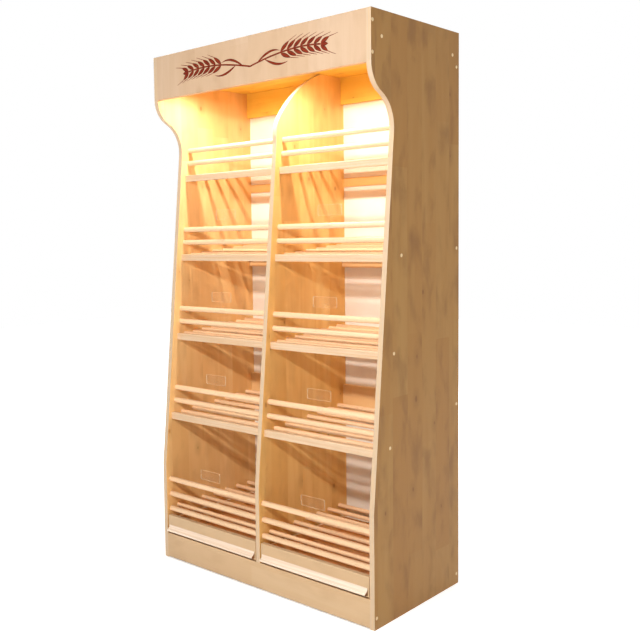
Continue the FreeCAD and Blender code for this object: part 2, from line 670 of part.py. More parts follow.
make_sheet("Sizes", SIZES)
make_sheet("Places", PLACES)
for side in BAYS:
    side_panel(side)
divider()
cross_boards()
back_sheets()
back_rails()
lips()
guards()
grates()
for bay in BAYS:
    drawer(bay)
    runners(bay)
price_holders()
lamp()
doc.recompute()
check()
os.makedirs("parts", exist_ok=True)
for item in nodes:
    item.Shape.exportStep(f"parts/{item.Label}.step")
    print(item.Label, len(item.Shape.Solids), round(item.Shape.Volume))
print(len(nodes), "sub-parts")
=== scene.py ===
"""Bakery bread rack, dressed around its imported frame.

Laminate boards, beech dowels, white back sheets, crumb drawers, price holders and a lit canopy.
"""
import math

import bmesh
import bpy
import numpy as np
from mathutils import Matrix, Vector


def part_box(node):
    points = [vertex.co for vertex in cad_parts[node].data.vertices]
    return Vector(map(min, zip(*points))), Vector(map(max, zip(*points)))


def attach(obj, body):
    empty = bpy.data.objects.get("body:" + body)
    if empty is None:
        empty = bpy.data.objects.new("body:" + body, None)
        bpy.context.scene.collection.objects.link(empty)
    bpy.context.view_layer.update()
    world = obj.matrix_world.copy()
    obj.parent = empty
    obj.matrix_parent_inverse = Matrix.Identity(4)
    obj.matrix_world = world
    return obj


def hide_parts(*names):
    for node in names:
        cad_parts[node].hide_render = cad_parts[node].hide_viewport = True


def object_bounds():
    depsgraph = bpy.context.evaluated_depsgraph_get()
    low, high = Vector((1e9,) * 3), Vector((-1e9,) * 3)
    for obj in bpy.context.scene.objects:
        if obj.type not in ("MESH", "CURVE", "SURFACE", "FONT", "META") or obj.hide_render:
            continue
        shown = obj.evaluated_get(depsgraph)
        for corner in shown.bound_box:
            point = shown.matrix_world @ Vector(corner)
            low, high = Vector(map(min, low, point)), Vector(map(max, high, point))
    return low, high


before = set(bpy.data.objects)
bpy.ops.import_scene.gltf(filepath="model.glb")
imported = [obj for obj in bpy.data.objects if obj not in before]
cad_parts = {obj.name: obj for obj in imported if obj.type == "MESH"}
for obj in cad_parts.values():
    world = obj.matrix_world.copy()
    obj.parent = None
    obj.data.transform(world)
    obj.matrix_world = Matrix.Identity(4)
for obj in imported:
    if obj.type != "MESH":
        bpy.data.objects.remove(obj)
size_at_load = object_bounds()

# ---------------------------------------------------------------- side panels and divider
# The three uprights are 18 mm chipboard faced with melamine paper, which is printed as glued
# strips of light wood with a few small knots. They are sawn to the bakery profile, and their
# narrow sides carry a paler band of ABS edging with a small radius.

BAYS = ("left", "right")
STRIP_LENGTH, STRIP_WIDTH, GLUE_LINE = 0.74, 0.088, 0.0005      # of the printed strips
STREAK_LENGTH, STREAK_WIDTH = 0.5, 0.040    # of the darker bands of growth
FIBRE_LENGTH, FIBRE_WIDTH = 0.16, 0.0045    # real fibres lie 1 mm apart, too fine to show
CLOUD_LENGTH, CLOUD_WIDTH = 0.15, 0.075     # of the faint patches
KNOT_SPACING, KNOT_STRETCH = 0.20, 1.6      # across the grain, and how much more along it
KNOT_WAVE = 0.1                             # how far the clouds bend a knot's outline
BOARD_EMBOSS = 0.00012
# where the painted shade on the side panels' outer faces begins, and where it is full
PAINTED_SHADE_START, PAINTED_SHADE_FULL = 0.006, 0.002        # in from the outer faces
EDGE_RADIUS, FINE_RADIUS = 0.0009, 0.0006   # of trimmed edging, and of a sanded corner
WELD_REACH, SHARP_ANGLE = 1e-5, math.radians(40)


def linear(code):
    """Linear colour of an sRGB hex code: each channel v goes to ((v + 0.055) / 1.055) ^ 2.4."""
    channels = np.array([int(code[i:i + 2], 16) / 255 for i in (0, 2, 4)])
    spread = np.where(channels > 0.04045, ((channels + 0.055) / 1.055) ** 2.4, channels / 12.92)
    return (*map(float, spread), 1.0)


def add(tree, kind, settings=None, inputs=None):
    """Add a node, set its properties, and set or link its inputs; an input's key is its name or index."""
    node = tree.nodes.new("ShaderNode" + kind)
    for name, value in (settings or {}).items():
        setattr(node, name, value)
    for key, value in (inputs or {}).items():
        if isinstance(value, bpy.types.NodeSocket):
            tree.links.new(value, node.inputs[key])
        else:
            node.inputs[key].default_value = value
    return node


def new_material(name, **even_values):
    """Start a material: one Principled shader with its even values set on its own sockets."""
    made = bpy.data.materials.new(name)
    made.use_nodes = True
    tree = made.node_tree
    tree.nodes.clear()
    shader = add(tree, "BsdfPrincipled", inputs={key.replace("_", " "): v for key, v in even_values.items()})
    add(tree, "OutputMaterial", inputs={"Surface": shader.outputs[0]})
    return made, tree, shader


def stain(tree, under, over, pattern, span, shares=(0, 1)):
    """Lay one colour over another by a pattern.

    As the pattern rises smoothly through the span, the upper colour goes from the first share to
    the second.
    """
    share = add(tree, "MapRange", {"interpolation_type": "SMOOTHSTEP"},
                {0: pattern, 1: span[0], 2: span[1], 3: shares[0], 4: shares[1]})
    return add(tree, "Mix", {"data_type": "RGBA"}, {0: share.outputs[0], 6: under, 7: over}).outputs[2]


def coat(tree, shader, colour, relief=None, depth=None):
    """Give the shader its colour, and a relief whose height of 0..1 stands for a depth in metres."""
    tree.links.new(colour, shader.inputs["Base Color"])
    if depth:
        bump = add(tree, "Bump", inputs={"Height": relief, "Distance": depth, "Strength": 1.0})
        tree.links.new(bump.outputs[0], shader.inputs["Normal"])


def along_and_across(tree, grain):
    """Object coordinates turned into the distance along the grain and the distance across it."""
    split = add(tree, "SeparateXYZ", inputs={0: add(tree, "TexCoord").outputs["Object"]})
    others = [axis for axis in "XYZ" if axis != grain]
    across = add(tree, "Math", {"operation": "ADD"}, {i: split.outputs[a] for i, a in enumerate(others)})
    return split.outputs[grain], across.outputs[0]


def stretched(tree, along, across, along_step, across_step):
    """Vector whose x and y count the steps along and across the grain."""
    counts = [add(tree, "Math", {"operation": "DIVIDE"}, {0: value, 1: step}).outputs[0]
              for value, step in ((along, along_step), (across, across_step))]
    return add(tree, "CombineXYZ", inputs={0: counts[0], 1: counts[1]}).outputs[0]


def laminate(name, grain, pale, deep, knot, edging=None, outside=None, upper=None):
    """Melamine-faced board, satin and slightly embossed, so that it shines softly and evenly.

    Each printed strip has its own tone; growth streaks and fibres run along the grain, and a knot
    is a small dark oval in a cloudy patch. Edging is the plainer colour of the narrow sides.
    Outside is painted shade: it tints the outer faces of the side panels darker and browner, with
    stronger clouds, as if they stood out of the light. Upper is a painted highlight: a paler colour
    laid over faces that look up, as if lit from above.
    """
    made, tree, shader = new_material(name, Roughness=0.46, Specular_IOR_Level=0.3)
    pale, deep, knot = map(linear, (pale, deep, knot))
    along, across = along_and_across(tree, grain)
    rows = add(tree, "Math", {"operation": "DIVIDE"}, {0: across, 1: STRIP_WIDTH}).outputs[0]
    row = add(tree, "Math", {"operation": "FLOOR"}, {0: rows}).outputs[0]
    shift = add(tree, "TexWhiteNoise", {"noise_dimensions": "1D"}, {"W": row}).outputs[0]
    moved = add(tree, "Math", {"operation": "ADD"}, {0: along, 1: shift}).outputs[0]
    strips = add(tree, "TexBrick", {"offset": 0.0}, {
        "Vector": add(tree, "CombineXYZ", inputs={0: moved, 1: across}).outputs[0],
        "Color1": (0, 0, 0, 1), "Color2": (1, 1, 1, 1), "Mortar": (0.8, 0.8, 0.8, 1),
        "Scale": 1.0, "Mortar Size": GLUE_LINE, "Mortar Smooth": 1.0,
        "Brick Width": STRIP_LENGTH, "Row Height": STRIP_WIDTH}).outputs["Color"]
    streaks = add(tree, "TexNoise", inputs={
        "Vector": stretched(tree, moved, across, STREAK_LENGTH, STREAK_WIDTH),
        "Scale": 1.0, "Detail": 3.0, "Distortion": 0.5}).outputs[0]
    fibres = add(tree, "TexNoise", inputs={
        "Vector": stretched(tree, moved, across, FIBRE_LENGTH, FIBRE_WIDTH),
        "Scale": 1.0, "Detail": 2.0}).outputs[0]
    clouds = add(tree, "TexNoise", inputs={
        "Vector": stretched(tree, moved, across, CLOUD_LENGTH, CLOUD_WIDTH),
        "Scale": 1.0, "Detail": 4.0, "Distortion": 0.3}).outputs[0]
    spots = add(tree, "TexVoronoi", {"voronoi_dimensions": "2D"}, {
        "Vector": stretched(tree, moved, across, KNOT_SPACING * KNOT_STRETCH, KNOT_SPACING),
        "Scale": 1.0, "Randomness": 1.0}).outputs["Distance"]
    wavy = add(tree, "Math", {"operation": "MULTIPLY_ADD"}, {0: clouds, 1: KNOT_WAVE, 2: spots}).outputs[0]
    colour = stain(tree, pale, deep, streaks, (0.3, 0.7), (0, 0.6))
    colour = stain(tree, colour, deep, strips, (0, 1), (0, 0.85))
    colour = stain(tree, colour, knot, fibres, (0.45, 0.8), (0, 0.05))
    colour = stain(tree, colour, knot, clouds, (0.45, 0.8), (0, 0.22))
    # the halo of a knot, then its core
    colour = stain(tree, colour, knot, wavy, (0.06, 0.20), (0.24, 0))
    colour = stain(tree, colour, knot, wavy, (0.052, 0.078), (0.55, 0))
    # painted shade: the outer faces of the side panels are tinted darker and browner, with stronger clouds
    if outside:
        split = add(tree, "SeparateXYZ", inputs={0: add(tree, "TexCoord").outputs["Object"]})
        away = add(tree, "Math", {"operation": "ABSOLUTE"}, {0: split.outputs[0]}).outputs[0]
        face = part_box("side_panel_right")[1].x
        shown = stain(tree, colour, knot, clouds, (0.45, 0.75), (0, 0.30))
        shade_painted_outside = add(tree, "Mix", {"data_type": "RGBA", "blend_type": "MULTIPLY"},
                     {0: 1.0, 6: shown, 7: linear(outside)}).outputs[2]
        colour = stain(tree, colour, shade_painted_outside, away, (face - PAINTED_SHADE_START, face - PAINTED_SHADE_FULL))
    if edging:
        split = add(tree, "SeparateXYZ", inputs={0: add(tree, "TexCoord").outputs["Normal"]})
        sideways = add(tree, "Math", {"operation": "ABSOLUTE"}, {0: split.outputs[0]}).outputs[0]
        band = stain(tree, linear(edging), deep, fibres, (0.4, 0.8), (0, 0.3))
        colour = stain(tree, band, colour, sideways, (0.6, 0.8))
    # painted highlight: faces that look up get a paler colour, as if lit from above
    if upper:
        split = add(tree, "SeparateXYZ", inputs={0: add(tree, "TexCoord").outputs["Normal"]})
        colour = stain(tree, colour, linear(upper), split.outputs[2], (0.5, 0.8), (0, 0.8))
    coat(tree, shader, colour, fibres, BOARD_EMBOSS)
    return made


def dress(piece, made):
    """Give a piece its material and no other."""
    piece.data.materials.clear()
    piece.data.materials.append(made)


def soften(name, radius=EDGE_RADIUS):
    """Round the sharp edges of a board: its triangles are welded, and the edges get a narrow bevel."""
    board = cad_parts[name]
    weld = board.modifiers.new("weld", "WELD")
    weld.merge_threshold = WELD_REACH
    bevel = board.modifiers.new("edges", "BEVEL")
    bevel.width, bevel.segments, bevel.limit_method = radius, 2, "ANGLE"
    bevel.angle_limit = SHARP_ANGLE
    return board


# satin print of honey-pale strips with a plain beige edge, tinted browner on the outer faces as painted
# shade
panel_laminate = laminate("melamine_glued_strips_upright", "Z", "f8ce90", "ebb875", "a06a34",
                          edging="cab092", outside="b4a27c")
# the same print in a slightly more golden, less blue tone: painted warm reflected light on the divider
divider_warm_light_laminate = laminate("melamine_glued_strips_divider_warm_light", "Z", "f7cc82", "eab568", "9f6830",
                            edging="cab092")
for bay in BAYS:
    dress(soften(f"side_panel_{bay}"), panel_laminate)
dress(soften("centre_divider"), divider_warm_light_laminate)

# ---------------------------------------------------------------- header, ceiling and plinth
# The header board is of the same laminate with its grain upright, and the ceiling and the plinth
# run across. All three are screwed between the side panels through their outer faces.

# the same satin print: beige on the header, beige with its grain across on the plinth and the
# drawer fronts, and on the ceiling a honey yellow that is painted warm reflected light, with a
# paler top face as a painted highlight
header_laminate = laminate("melamine_glued_strips_header", "Z", "ceb092", "c6a584", "9b734f")
front_laminate = laminate("melamine_glued_strips_front", "X", "d0b38d", "c9a77f", "9d744c")
ceiling_warm_light_laminate = laminate("melamine_glued_strips_ceiling_warm_light", "X", "f5ce5c", "eabb4c", "ac7c30", upper="ead0ac")
dress(soften("header_board"), header_laminate)
dress(soften("plinth_board"), front_laminate)
dress(soften("top_board"), ceiling_warm_light_laminate)

# ---------------------------------------------------------------- ornament on the header
# A pair of wheat ears is routed into the header and filled with red-brown lacquer, painted darker
# along the rim of each stroke as the shade of the routed edge. The fill stands 0.4 mm proud once
# the board has been sanded round it.

STROKE, FILL, POINTED = 0.0056, 0.0004, 1e-5        # width, height, and half the width of a tip
STROKE_POINTS = 24
STEM_REACH, STEM_END = 0.33, 0.93           # length if drawn to the end, and the share drawn
STEM_LOW, STEM_RISE, STEM_SAG = 0.024, 0.052, 0.030
GRAIN_COUNT, FIRST_GRAIN = 7, 0.42          # pairs, and the first pair's share along the stem
GRAIN_LENGTH, GRAIN_WIDTH, GRAIN_SHRINK = 0.048, 0.0150, 0.25
GRAIN_LEAN, GRAIN_OFFSET = math.radians(31), 0.0035
AWN_LENGTH, AWN_WIDTH, AWN_TURN = 0.034, 0.0026, math.radians(14)
TIP_LENGTH, TIP_FALL = 0.030, 0.12
LEAF_REACH, LEAF_WIDTH = 0.105, 0.0084
LEAVES = ((0.10, 0.030), (0.20, -0.026))    # share of the stem where each starts, and its rise
LACQUER_CLOUD, LACQUER_RELIEF = 0.0167, 0.0001      # of its uneven spread
MERGE_REACH, CREASE_ANGLE = 1e-6, math.radians(38)


def surface(name, points, around=False, caps=False, **attributes):
    """Mesh over grids of points, rows by columns; around joins the last column to the first.

    Further leading axes of the array are repeats of the same grid. Caps close the first and the
    last row with one face each. Attributes are numbers for each point. Points that meet are
    merged, and faces are turned outwards.
    """
    rows, columns = points.shape[-3:-1]
    repeats = int(np.prod(points.shape[:-3], dtype=int))
    i, j = np.meshgrid(np.arange(rows - 1), np.arange(columns - (not around)), indexing="ij")
    after = (j + 1) % columns
    corners = [i * columns + j, i * columns + after, (i + 1) * columns + after, (i + 1) * columns + j]
    quads = np.stack(corners, -1).reshape(-1, 4)
    starts = np.arange(repeats)[:, None] * rows * columns
    faces = (quads + starts[:, :, None]).reshape(-1, 4).tolist()
    if caps:
        for ring in (np.arange(columns), (rows - 1) * columns + np.arange(columns)[::-1]):
            faces += (ring + starts).tolist()
    mesh = bpy.data.meshes.new(name)
    mesh.from_pydata(points.reshape(-1, 3).tolist(), [], faces)
    for label, values in attributes.items():
        mesh.attributes.new(label, "FLOAT", "POINT").data.foreach_set(
            "value", np.broadcast_to(values, points.shape[:-1]).ravel().astype(np.float32))
    work = bmesh.new()
    work.from_mesh(mesh)
    bmesh.ops.remove_doubles(work, verts=work.verts, dist=MERGE_REACH)
    bmesh.ops.recalc_face_normals(work, faces=work.faces)
    work.to_mesh(mesh)
    work.free()
    mesh.shade_smooth()
    mesh.set_sharp_from_angle(angle=CREASE_ANGLE)
    piece = bpy.data.objects.new(name, mesh)
    bpy.context.scene.collection.objects.link(piece)
    return piece


def finish_piece(piece, body, slot, made, *replaced):
    """Set a piece's material, its body and the nodes that it stands for; the slot is not used."""
    dress(piece, made)
    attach(piece, body)
    if replaced:
        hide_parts(*replaced)


def cells(tree, size):
    """Object coordinates counted in cells of a size in metres, one for all three axes or one for each."""
    counts = tuple(1 / np.broadcast_to(size, 3))
    place = add(tree, "TexCoord").outputs["Object"]
    return add(tree, "Mapping", inputs={0: place, "Scale": counts}).outputs[0]


def stroke(line, half_width, plane):
    """Low ridge along a line of points (x, z) in front of a plane.

    A point at share s along and a (-1..1) across is line(s) + a * half_width(s) * normal(s), and it
    stands proud by FILL * (1 - a^4). Returns the points and how near each is to the middle.
    """
    tangent = np.gradient(line, axis=0)
    tangent /= np.linalg.norm(tangent, axis=1, keepdims=True)
    normal = np.stack([-tangent[:, 1], tangent[:, 0]], -1)
    a = np.linspace(-1, 1, 7)
    flat = line[:, None] + a[None, :, None] * (half_width[:, None] * normal)[:, None]
    proud = np.broadcast_to(plane - FILL * (1 - a ** 4), flat.shape[:2])
    middle = np.broadcast_to(1 - np.abs(a), flat.shape[:2])
    return np.stack([flat[..., 0], proud, flat[..., 1]], -1), middle


def ear(side, middle_z, plane):
    """Strokes of one ear: a bowed stem, pairs of grains along its outer part, awns and two leaves.

    At share s the stem has gone out evenly and stands at RISE * sin 1.5s - SAG * s^2 - LOW. Pairs of
    grains sit at even shares of its outer part and lean off it, one more ends it, and each of a
    pair ends in an awn that turns back. A grain's half width is (sin pi s)^0.7 * (1.15 - 0.5 s), so
    its belly is near the root. A leaf rises as sin 2.2s, and its half width is (sin pi s^0.8)^0.8.
    """
    share = np.linspace(0, 1, STROKE_POINTS)

    def stem_at(s):
        height = STEM_RISE * np.sin(1.5 * s) - STEM_SAG * s ** 2 - STEM_LOW
        return np.stack([side * STEM_REACH * s, middle_z + height], -1)

    def straight(root, length, angle):
        return root + share[:, None] * length * np.array([math.cos(angle), math.sin(angle)])

    belly = GRAIN_WIDTH / 2 * np.sin(np.pi * share) ** 0.7 * (1.15 - 0.5 * share) + POINTED
    blade = LEAF_WIDTH / 2 * np.sin(np.pi * share ** 0.8) ** 0.8 + POINTED
    parts = [stroke(stem_at(share * STEM_END), np.full(STROKE_POINTS, STROKE / 2), plane)]
    for i, s in enumerate(np.linspace(FIRST_GRAIN, STEM_END, GRAIN_COUNT)):
        seat = stem_at(s)
        out, up = stem_at(s + 0.01) - seat
        lie = math.atan2(up, out)
        for lean in (-1, 1):
            way = lie + side * lean * GRAIN_LEAN
            root = seat + GRAIN_OFFSET * lean * side * np.array([-math.sin(lie), math.cos(lie)])
            grain = straight(root, GRAIN_LENGTH * (1 - GRAIN_SHRINK * i / GRAIN_COUNT), way)
            awn = straight(grain[-1], AWN_LENGTH, way - side * lean * AWN_TURN)
            parts.append(stroke(grain, belly, plane))
            parts.append(stroke(awn, AWN_WIDTH / 2 * (1 - 0.6 * share), plane))
    tip = stem_at(STEM_END) + share[:, None] * TIP_LENGTH * np.array([side, -TIP_FALL])
    parts.append(stroke(tip, belly, plane))
    for start, rise in LEAVES:
        leaf = stem_at(start) + np.stack([side * LEAF_REACH * share, rise * np.sin(2.2 * share)], -1)
        parts.append(stroke(leaf, blade, plane))
    return parts


header_low, header_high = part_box("header_board")
header_front, header_middle = header_low.y, (header_low.z + header_high.z) / 2
strokes = [part for side in (-1, 1) for part in ear(side, header_middle, header_front)]
ornament = surface("header_wheat_ears", np.stack([points for points, middle in strokes]),
                   middle=np.stack([middle for points, middle in strokes]))
# dull brushed-in lacquer: slightly cloudy, with a dark line along the rim of each stroke, painted shade of
# the routed edge
lacquer, tree, shader = new_material("red_brown_lacquer_fill", Roughness=0.6, Specular_IOR_Level=0.15)
middle = add(tree, "Attribute", {"attribute_name": "middle"}).outputs["Fac"]
cloud = add(tree, "TexNoise", inputs={"Vector": cells(tree, LACQUER_CLOUD), "Scale": 1.0}).outputs[0]
fill = stain(tree, linear("701e08"), linear("822a10"), cloud, (0.35, 0.65))
coat(tree, shader, stain(tree, linear("471406"), fill, middle, (0.0, 0.7)), cloud, LACQUER_RELIEF)
finish_piece(ornament, "rack", "board", lacquer)

# ---------------------------------------------------------------- cover caps and back nails
# The connecting screws of the side panels are hidden under pressed-in caps of pale plastic,
# 12 mm across. The back sheets are held by rows of small flat-headed nails of bright steel.

# of each cap, in millimetres: how far behind the header's front, and how high
CAPS = ((8, 1913), (7, 1816), (57, 1870), (482, 1870), (509, 1833), (510, 1209), (510, 657), (512, 37),
        (162, 1193), (116.5, 879), (92, 575), (12, 38))
CAP_RADIUS, CAP_HEIGHT = 0.006, 0.0012
CAP_SPECK, CAP_RELIEF = 0.0025, 0.00005     # the real grain is 0.1 mm, too fine to show
NAIL_RADIUS, NAIL_HEIGHT = 0.0030, 0.0006
NAIL_SCRATCH = 0.0011                       # real scratches are hair-fine, too fine to show
NAIL_SPACING, NAIL_INSET = 0.150, 0.004     # the inset is from the edge of the sheet
LOWEST_NAIL, TOP_GAP = 0.04, 0.02           # of a column, from the ends of the sheets
FIRST_NAIL, MIDDLE_GAP = 0.06, 0.03         # of a rail's row, from its end and from the divider's nails


def buttons(centres, outward, radius, height):
    """Points of flat domes on a face.

    At share r out and angle t round, a point lies r * radius from the centre of its dome and stands
    out by height * (1 - r^6).
    """
    outward, first = np.array(outward, float), np.array([0.0, 0.0, 1.0])
    second = np.cross(outward, first)
    rings = [1.0, 0.97, 0.9, 0.75, 0.4, 0.0]
    r, t = np.meshgrid(rings, np.linspace(0, 2 * np.pi, 20, endpoint=False), indexing="ij")
    flat = radius * ((r * np.cos(t))[..., None] * first + (r * np.sin(t))[..., None] * second)
    domed = flat + (height * (1 - r ** 6))[..., None] * outward
    return np.asarray(centres, float)[:, None, None] + domed


def speckled(name, first, second, size, depth=None, **even_values):
    """Moulded, sprayed or drawn finish: two near tones mingle in specks of a size in metres.

    Depth is the specks' relief, where the surface isn't quite smooth.
    """
    made, tree, shader = new_material(name, **even_values)
    specks = add(tree, "TexNoise", inputs={"Vector": cells(tree, size), "Scale": 1.0}).outputs[0]
    tones = add(tree, "Mix", {"data_type": "RGBA"}, {0: specks, 6: linear(first), 7: linear(second)})
    coat(tree, shader, tones.outputs[2], specks, depth)
    return made


# moulded ABS with a fine spark-eroded grain, which takes the edge off its shine
cap_plastic = speckled("abs_cover_cap", "f2d9ae", "e8c996", CAP_SPECK, CAP_RELIEF,
                       Roughness=0.45, Specular_IOR_Level=0.2)
for bay, way in zip(BAYS, (-1, 1)):
    low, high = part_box(f"side_panel_{bay}")
    face = low.x if way < 0 else high.x
    centres = [(face, header_front + behind / 1000, height / 1000) for behind, height in CAPS]
    caps = surface(f"cover_caps_{bay}", buttons(centres, (way, 0, 0), CAP_RADIUS, CAP_HEIGHT), around=True)
    finish_piece(caps, "rack", "grip", cap_plastic)

# drawn steel wire, headed cold: bright, with faint scratches
nail_steel = speckled("bright_steel_nail", "b9b6b0", "d6d3cd", NAIL_SCRATCH, Metallic=1.0, Roughness=0.35)
sheet_low, sheet_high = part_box("back_sheet_lower")
sheet_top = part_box("back_sheet_upper")[1].z
heights = np.arange(sheet_low.z + LOWEST_NAIL, sheet_top - TOP_GAP, NAIL_SPACING)
places = [(x, z) for x in (sheet_low.x + NAIL_INSET, 0.0, sheet_high.x - NAIL_INSET) for z in heights]
for rail in ("top", "middle", "low", "foot"):
    low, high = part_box(f"rail_{rail}_left")[0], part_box(f"rail_{rail}_right")[1]
    places += [(x, (low.z + high.z) / 2) for x in np.arange(low.x + FIRST_NAIL, high.x, NAIL_SPACING)
               if abs(x) > MIDDLE_GAP]
centres = np.array([(x, sheet_high.y, z) for x, z in places])
nails = surface("back_nails", buttons(centres, (0, 1, 0), NAIL_RADIUS, NAIL_HEIGHT), around=True)
finish_piece(nails, "rack", "lamp_tray", nail_steel)

# ---------------------------------------------------------------- back sheets and joint strip
# The back is 3 mm hardboard in two parts, lacquered white inside and raw brown behind, and nailed
# to the rails. A thin H-shaped strip of extruded PVC holds the two parts together at the joint.

PULP_SIZE, PATCH_SIZE = 0.00143, 0.2        # real fibres are 0.1 mm, too fine to show
SHEET_RELIEF = 0.00006
STRIP_LINES, STRIP_RADIUS = (0.05, 0.00067, 0.00067), 0.0004

# sprayed lacquer in front, smooth and a little glossy; dull matted fibre on the other sides
sheet_board, tree, shader = new_material("white_lacquered_hardboard", Roughness=0.38)
facing = add(tree, "SeparateXYZ", inputs={0: add(tree, "TexCoord").outputs["Normal"]}).outputs["Y"]
fibre = add(tree, "TexNoise", inputs={
    "Vector": cells(tree, PULP_SIZE), "Scale": 1.0, "Detail": 4.0}).outputs[0]
patch = add(tree, "TexNoise", inputs={
    "Vector": cells(tree, PATCH_SIZE), "Scale": 1.0, "Detail": 3.0}).outputs[0]
white = stain(tree, linear("f4e9da"), linear("ecdfce"), patch, (0.3, 0.7))
brown = stain(tree, linear("8a6038"), linear("7a5230"), patch, (0.3, 0.7))
brown = stain(tree, brown, linear("5e3d22"), fibre, (0.4, 0.7))
coat(tree, shader, stain(tree, white, brown, facing, (-0.8, -0.5)), fibre, SHEET_RELIEF)
for part in ("back_sheet_lower", "back_sheet_upper"):
    dress(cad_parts[part], sheet_board)

# extruded PVC: an even half shine with faint lines along its length
strip_plastic = speckled("pvc_joint_strip", "e6b878", "dba862", STRIP_LINES, SHEET_RELIEF, Roughness=0.4)
dress(soften("joint_strip", STRIP_RADIUS), strip_plastic)

# ---------------------------------------------------------------- rails and lips
# The back rails are strips of the same laminate, screwed between the uprights. The front lips are
# planed strips of solid light wood, with a rounded upper front edge.

LEVELS = ("base", "1", "2", "3", "4")       # from the grate over the drawers up
LIP_GROWTH, GROWTH_LENGTH = 0.006, 0.333    # real growth lines lie 2 mm apart, too fine to show
FLECK_SIZE = (0.0111, 0.002, 0.002)         # real rays are 0.5 mm thick, too fine to show
TONE_SIZE = (0.2, 0.0714, 0.0714)           # of the softly darker stretches
GRAIN_RELIEF = 0.0001

# satin print again, a little paler than the ceiling's
rail_laminate = laminate("melamine_glued_strips_rail", "X", "efc690", "e2b276", "a87848")
for bay in BAYS:
    # the top rails take the ceiling's honey print, painted warm reflected light
    dress(soften(f"rail_top_{bay}"), ceiling_warm_light_laminate)
    for rail in ("middle", "low", "foot"):
        dress(soften(f"rail_{rail}_{bay}"), rail_laminate)


def solid_wood(name, pale, deep, fleck, growth, fleck_share, roughness):
    """Planed or turned solid wood with its grain along X, sanded and clear-lacquered: soft sheen.

    Growth lines are long noise across the grain. Flecks are the short dark dashes of the rays.
    The tone attribute, where a piece has it, makes each stick a little paler or deeper.
    """
    made, tree, shader = new_material(name, Roughness=roughness)
    pale, deep, fleck = map(linear, (pale, deep, fleck))
    lines = add(tree, "TexNoise", inputs={
        "Vector": cells(tree, (GROWTH_LENGTH, growth, growth)),
        "Scale": 1.0, "Detail": 3.0, "Distortion": 0.3}).outputs[0]
    flecks = add(tree, "TexNoise", inputs={
        "Vector": cells(tree, FLECK_SIZE), "Scale": 1.0, "Detail": 1.0}).outputs[0]
    patches = add(tree, "TexNoise", inputs={
        "Vector": cells(tree, TONE_SIZE), "Scale": 1.0, "Detail": 2.0}).outputs[0]
    tone = add(tree, "Attribute", {"attribute_name": "tone"}).outputs["Fac"]
    colour = stain(tree, pale, deep, lines, (0.3, 0.7))
    colour = stain(tree, colour, deep, patches, (0.45, 0.75), (0, 0.5))
    colour = stain(tree, colour, deep, tone, (0, 1), (0, 0.6))
    colour = stain(tree, colour, fleck, flecks, (0.62, 0.72), (0, fleck_share))
    coat(tree, shader, colour, lines, GRAIN_RELIEF)
    return made


# planed spruce: pale, even and silky, with few marks
lip_wood = solid_wood("planed_spruce_lip", "d9bd9d", "d0ab84", "b88b5e", LIP_GROWTH, 0.3, 0.5)
for level in LEVELS[1:]:
    for bay in BAYS:
        dress(soften(f"lip_{level}_{bay}", FINE_RADIUS), lip_wood)

# ---------------------------------------------------------------- guard dowels and shelf grates
# Twenty-millimetre beech dowels, turned and sanded, run from one side panel to the other through
# the divider and keep the loaves in. The grates are sixteen-millimetre dowels glued between the
# uprights, so that crumbs fall through.

GUARD_COUNTS = dict(zip(LEVELS, (3, 2, 2, 2, 2)))
ROD_COUNTS = dict(zip(LEVELS, (7, 7, 8, 6, 6)))
GUARD_RADIUS, ROD_RADIUS, END_CHAMFER = 0.010, 0.008, 0.0008
ROD_REACH = ROD_RADIUS * math.cos(math.pi / 18)     # sideways, of the 18-sided rod in the node's box
BEECH_GROWTH = 0.005                        # real growth lines lie 2 mm apart, too fine to show

chance = np.random.default_rng(7)


def at_each(centres, x, y, z):
    """Grid of points with the offsets x, y and z, repeated at each centre."""
    grid = np.stack(np.broadcast_arrays(x, y, z), -1)
    return np.asarray(centres, float)[:, None, None] + grid


def sticks(name, ends, lines, radius):
    """Round dowels along X, with chamfered ends.

    A point at x and angle t round is (x, y + r(x) cos t, z + r(x) sin t), where r is the radius,
    and falls to nothing at both ends through the chamfer. Lines are pairs (y, z).
    """
    start, end = ends
    x = np.array([start, start, start + END_CHAMFER, *np.linspace(start, end, 6)[1:-1],
                  end - END_CHAMFER, end, end])
    r = np.array([0, radius - END_CHAMFER, *[radius] * (len(x) - 4), radius - END_CHAMFER, 0])
    t = np.linspace(0, 2 * np.pi, 28, endpoint=False)
    centres = np.column_stack([np.zeros(len(lines)), lines])
    points = at_each(centres, x[:, None], r[:, None] * np.cos(t), r[:, None] * np.sin(t))
    return surface(name, points, around=True, tone=chance.random(len(lines))[:, None, None])


def even_lines(low, high, count, y_inset, z_inset):
    """Axes of evenly spaced dowels, from the corners of their box."""
    return np.column_stack([np.linspace(low.y + y_inset, high.y - y_inset, count),
                            np.linspace(low.z + z_inset, high.z - z_inset, count)])


